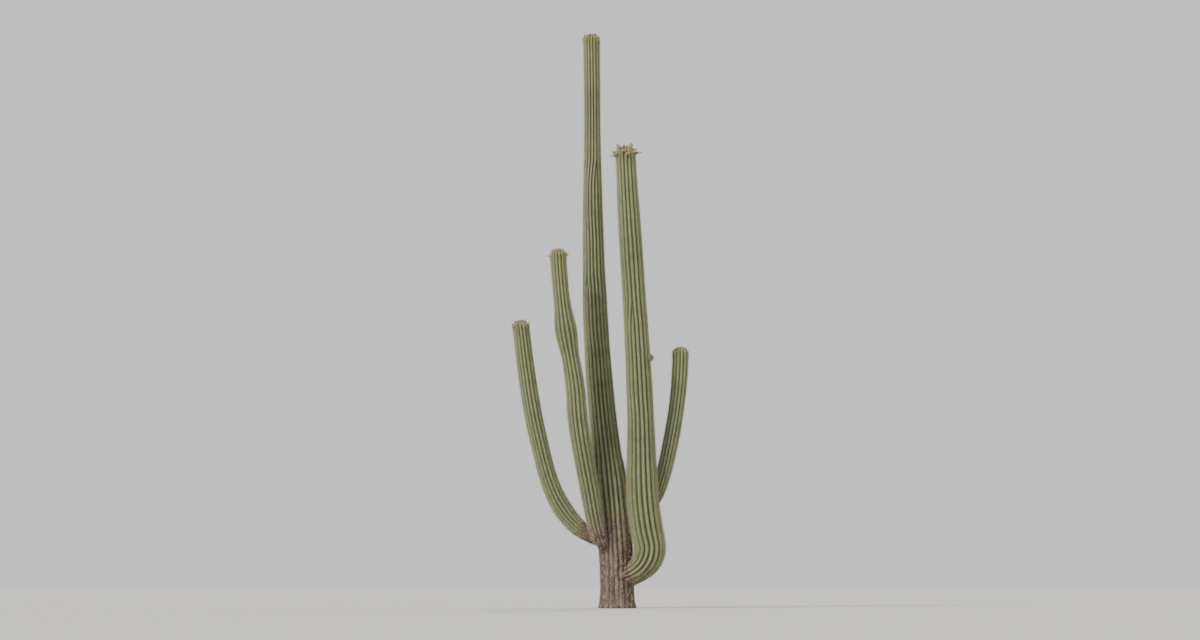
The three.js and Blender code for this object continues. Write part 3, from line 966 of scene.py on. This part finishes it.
def lay_floor(look):
    """A wide plain floor, a little under the ground that the plant stands in."""
    bm = bmesh.new()
    bmesh.ops.create_circle(bm, cap_ends=True, segments=FLOOR_SIDES, radius=look.floor_radius)
    bmesh.ops.translate(bm, vec=(0, 0, -FLOOR_DROP), verts=bm.verts)
    floor = in_scene("floor", mesh_of(bm, smooth=False))
    s = Shader("floor")
    floor.data.materials.append(s.finish((*look.floor, 1), 0.9, s.noise(3, 3), depth=0.002))


def light_up(look):
    """A pale surround, and lamps like soft suns."""
    world = bpy.data.worlds.new("studio")
    world.use_nodes = True
    surround = world.node_tree.nodes["Background"]
    surround.inputs["Color"].default_value = (*look.sky, 1)
    surround.inputs["Strength"].default_value = SURROUND_STRENGTH
    bpy.context.scene.world = world
    for name, (turn, rise, strength, width) in LAMPS.items():
        light = bpy.data.lights.new(name, "SUN")
        light.energy = strength
        light.color = look.sunlight
        light.angle = math.radians(width)
        in_scene(name, light).rotation_euler = (math.radians(90 - rise), 0, math.radians(turn))


def set_camera(look):
    """A long lens far in front of the plant, at eye height."""
    low, high = CAD_BOX
    centre = (low + high) / 2
    camera = bpy.data.cameras.new("camera")
    eye = in_scene("camera", camera)
    eye.location = (centre.x, centre.y - look.eye_distance, look.eye_height)
    eye.rotation_euler = (centre - eye.location).to_track_quat("-Z", "Y").to_euler()
    seen_height = (high.z - low.z) / look.filled
    camera.lens = camera.sensor_width * look.eye_distance / (seen_height * PICTURE_SHAPE)
    camera.clip_start, camera.clip_end = CLIP_DISTANCES
    bpy.context.scene.camera = eye


def tint(name, description, default):
    """A colour that a user can change."""
    return FloatVectorProperty(
        name=name, description=description, default=default, size=3, subtype="COLOR", min=0, max=1
    )


def length(name, description, default):
    """A size that a user can change."""
    return FloatProperty(name=name, description=description, default=default, min=0, unit="LENGTH")


class SkinLook(bpy.types.PropertyGroup):
    """Sizes and colours of the skins."""

    spacing: length("Cluster spacing", "Distance between clusters along a rib", 0.044)
    nub_spacing: length("Nub spacing", "The same on the young arm's nub", 0.02)
    trunk_green: tint("Trunk green", "Shaded skin of the trunk", (0.125, 0.155, 0.065))
    arm_green: tint("Arm green", "Shaded skin of the arms", (0.135, 0.18, 0.068))
    sunned: tint("Sunned green", "Skin that has seen more sun", (0.2, 0.225, 0.09))
    fresh: tint("Fresh green", "New skin near the tips", (0.205, 0.265, 0.085))
    # Painted shade: the dark green laid in the grooves between the ribs, where shade falls. The same colour
    # also darkens the horizontal bands and wrinkles.
    groove_shade: tint("Groove shade green", "Skin deep between the ribs", (0.045, 0.07, 0.03))
    bloom: tint("Bleached green", "Waxy skin along the crests", (0.32, 0.35, 0.2))
    halo: tint("Halo", "Dry skin round each spine cluster", (0.33, 0.28, 0.15))
    tanned: tint("Tanned", "Skin that begins to turn to cork", (0.165, 0.135, 0.075))
    scar: tint("Scar", "Healed wounds in the skin", (0.3, 0.22, 0.13))
    cork_dark: tint("Dark cork", "Cracks of the corky old skin", (0.075, 0.055, 0.042))
    cork_light: tint("Light cork", "Weathered faces of the corky old skin", (0.28, 0.225, 0.16))


class SpineLook(bpy.types.PropertyGroup):
    """Sizes and colours of the spines and their felt cushions."""

    radials: IntProperty(name="Outer spines", description="Spines that lie flat round a cluster", default=10)
    centrals: IntProperty(name="Inner spines", description="Spines that stand up in a cluster", default=5)
    longest: length("Longest spine", "Length of the strongest spines low on the plant", 0.066)
    width: length("Spine width", "Thickness of a spine at its foot", 0.0026)
    cushion: length("Cushion height", "Half the height of a felt cushion", 0.009)
    weathered: tint("Weathered", "Old grey spines", (0.37, 0.325, 0.26))
    tawny: tint("Tawny", "Spines that have darkened", (0.44, 0.32, 0.18))
    straw: tint("Straw", "Spines of the last few years", (0.6, 0.48, 0.3))
    young: tint("Young", "Spines of this year, at the tips", (0.43, 0.305, 0.145))
    felt: tint("Felt", "Wool of the cushions", (0.19, 0.13, 0.065))
    tip_wool: tint("Tip wool", "Fresh wool on the tips", (0.4, 0.33, 0.19))
    felt_worn: tint("Worn felt", "Greyed wool of the cushions", (0.3, 0.25, 0.165))


class CrownLook(bpy.types.PropertyGroup):
    """Colours of the buds and fruit."""

    bud: tint("Bud green", "Skin of the closed flower buds", (0.2, 0.27, 0.08))
    bud_flush: tint("Bud flush", "Warmer patches on the buds", (0.3, 0.24, 0.09))
    scale: tint("Scale", "Scales on buds and fruit", (0.3, 0.15, 0.07))
    scale_edge: tint("Scale edge", "Lighter patches on the scales", (0.36, 0.33, 0.13))
    petal: tint("Petal", "Closed petals", (0.4, 0.44, 0.22))
    petal_edge: tint("Petal edge", "Outer faces of the closed petals", (0.29, 0.31, 0.12))
    fruit: tint("Fruit", "Skin of the young fruit", (0.2, 0.26, 0.085))
    fruit_flush: tint("Fruit flush", "Ripening patches on the fruit", (0.33, 0.19, 0.085))
    dried: tint("Dried flower", "Withered flower on a fruit", (0.14, 0.08, 0.045))
    dried_edge: tint("Dried edge", "Lighter withered petals", (0.34, 0.23, 0.13))


class StageLook(bpy.types.PropertyGroup):
    """The floor, the lights and the camera."""

    floor: tint("Floor", "Colour of the floor", (0.42, 0.415, 0.405))
    sunlight: tint("Sunlight", "Colour of the lamps", (1, 0.965, 0.91))
    sky: tint("Surround", "Colour of the light from all round", (0.88, 0.885, 0.9))
    floor_radius: length("Floor radius", "Radius of the floor", 60)
    eye_height: length("Eye height", "Height of the camera over the ground", 1.6)
    eye_distance: length("Eye distance", "Distance of the camera from the plant", 160)
    filled: FloatProperty(
        name="Filled", description="Share of the picture's height that the plant fills", default=0.9
    )


class SAGUARO_OT_trunk(bpy.types.Operator):
    """Wraps the trunk in its ribbed skin"""

    bl_idname = "saguaro.trunk"
    bl_label = "Trunk Skin"

    def execute(self, context):
        look = context.scene.saguaro_skin
        skin = living_skin("trunk skin", look, look.trunk_green)
        new_piece("trunk_skin", ribbed_skin(PLANT_TRUNK, look.spacing), skin, ["trunk"])
        return {"FINISHED"}


class SAGUARO_OT_arms(bpy.types.Operator):
    """Wraps the arms and the young nub in their ribbed skins"""

    bl_idname = "saguaro.arms"
    bl_label = "Arm Skins"

    def execute(self, context):
        look = context.scene.saguaro_skin
        skin = living_skin("arm skin", look, look.arm_green)
        for arm in PLANT_ARMS:
            new_piece(f"{arm.name}_skin", ribbed_skin(arm, look.spacing), skin, arm.nodes)
        new_piece("young_nub_skin", ribbed_skin(PLANT_NUB, look.nub_spacing), skin)
        return {"FINISHED"}


class SAGUARO_OT_spines(bpy.types.Operator):
    """Sets a cluster of spines on a felt cushion along the crest of every rib"""

    bl_idname = "saguaro.spines"
    bl_label = "Spines and Cushions"

    def execute(self, context):
        look = context.scene.saguaro_spines
        skin_look = context.scene.saguaro_skin
        dry = [dry_spine(f"{age} spines", getattr(look, age)) for age in SPINE_AGES]
        wool = felt("cushion felt", look.felt, look.felt_worn)
        limbs = [PLANT_TRUNK, *PLANT_ARMS, PLANT_NUB]
        for limb in limbs:
            rng = np.random.default_rng(limb.seed)
            spacing = skin_look.nub_spacing if limb is PLANT_NUB else skin_look.spacing
            places = clusters(limb, spacing, [other for other in limbs if other is not limb])
            kept = rng.random(len(places["at"])) > CORK_SHEDS * places["cork"]
            places = {name: values[kept] for name, values in places.items()}
            cushions = cushion_mesh(places, look.cushion, rng)
            new_piece(f"{limb.name}_cushions", cushions, wool)
            spines = spread_spines(places, look, rng)
            ages = spine_ages(places, rng)
            for k in np.unique(ages):
                mesh = spine_mesh(*(part[ages == k] for part in spines))
                new_piece(f"{limb.name}_spines_{SPINE_AGES[k]}", mesh, dry[k])
        return {"FINISHED"}


class SAGUARO_OT_crowns(bpy.types.Operator):
    """Stands flower buds and young fruit round every tip, over a cap of wool"""

    bl_idname = "saguaro.crowns"
    bl_label = "Bud Crowns"

    def execute(self, context):
        look = context.scene.saguaro_crowns
        spine_look = context.scene.saguaro_spines
        limbs = [PLANT_TRUNK, *PLANT_ARMS]
        places = [item for limb in limbs for item in crown_places(limb)]
        buds = [place for place, is_bud in places if is_bud]
        fruit = [place for place, is_bud in places if not is_bud]
        parts = (
            ("bud_tubes", buds, bud_tube(), look.bud, look.bud_flush, 0.5),
            ("bud_petals", buds, closed_petals(), look.petal, look.petal_edge, 0.6),
            ("bud_scales", buds, scale_spiral(**BUD_SCALES), look.scale, look.scale_edge, 0.5),
            ("young_fruit", fruit, young_fruit(), look.fruit, look.fruit_flush, 0.5),
            ("fruit_scales", fruit, scale_spiral(**FRUIT_SCALES), look.scale, look.fruit_flush, 0.5),
            ("dried_flowers", fruit, dried_flower(), look.dried, look.dried_edge, 0.8),
        )
        for name, stands, shape, colour, shade, roughness in parts:
            new_piece(name, joined(shape, stands), bud_skin(name, colour, shade, roughness))

        bm = bmesh.new()
        rng = np.random.default_rng(WOOL_SEED)
        for limb in limbs:
            wool_cap(bm, limb, rng)
        wool = felt("tip wool", spine_look.tip_wool, spine_look.felt_worn)
        new_piece("tip_wool", mesh_of(bm), wool)
        return {"FINISHED"}


class SAGUARO_OT_stage(bpy.types.Operator):
    """Lays the floor, and sets the lights and the camera"""

    bl_idname = "saguaro.stage"
    bl_label = "Stage"

    def execute(self, context):
        look = context.scene.saguaro_stage
        lay_floor(look)
        light_up(look)
        set_camera(look)
        return {"FINISHED"}


class SAGUARO_PT_panel(bpy.types.Panel):
    """Buttons for each part of the plant, and its settings"""

    bl_idname = "SAGUARO_PT_panel"
    bl_label = "Saguaro Cactus"
    bl_space_type = "VIEW_3D"
    bl_region_type = "UI"
    bl_category = "Saguaro"

    def draw(self, context):
        for operator in OPERATORS:
            self.layout.operator(operator.bl_idname)
        for name in LOOKS:
            look = getattr(context.scene, name)
            box = self.layout.box()
            for key in look.bl_rna.properties.keys():
                if key not in ("rna_type", "name"):
                    box.prop(look, key)


PLANT_TRUNK, PLANT_ARMS, PLANT_NUB = grown_plant()
LOOKS = dict(
    saguaro_skin=SkinLook, saguaro_spines=SpineLook, saguaro_crowns=CrownLook, saguaro_stage=StageLook
)
OPERATORS = (SAGUARO_OT_trunk, SAGUARO_OT_arms, SAGUARO_OT_spines, SAGUARO_OT_crowns, SAGUARO_OT_stage)
CLASSES = (*LOOKS.values(), *OPERATORS, SAGUARO_PT_panel)


def register():
    for made in CLASSES:
        bpy.utils.register_class(made)
    for name, look in LOOKS.items():
        setattr(bpy.types.Scene, name, PointerProperty(type=look))


def unregister():
    for name in LOOKS:
        delattr(bpy.types.Scene, name)
    for made in reversed(CLASSES):
        bpy.utils.unregister_class(made)


def main():
    register()
    bpy.ops.saguaro.trunk()
    bpy.ops.saguaro.arms()
    bpy.ops.saguaro.spines()
    bpy.ops.saguaro.crowns()
    bpy.ops.saguaro.stage()


if __name__ == "__main__":
    main()
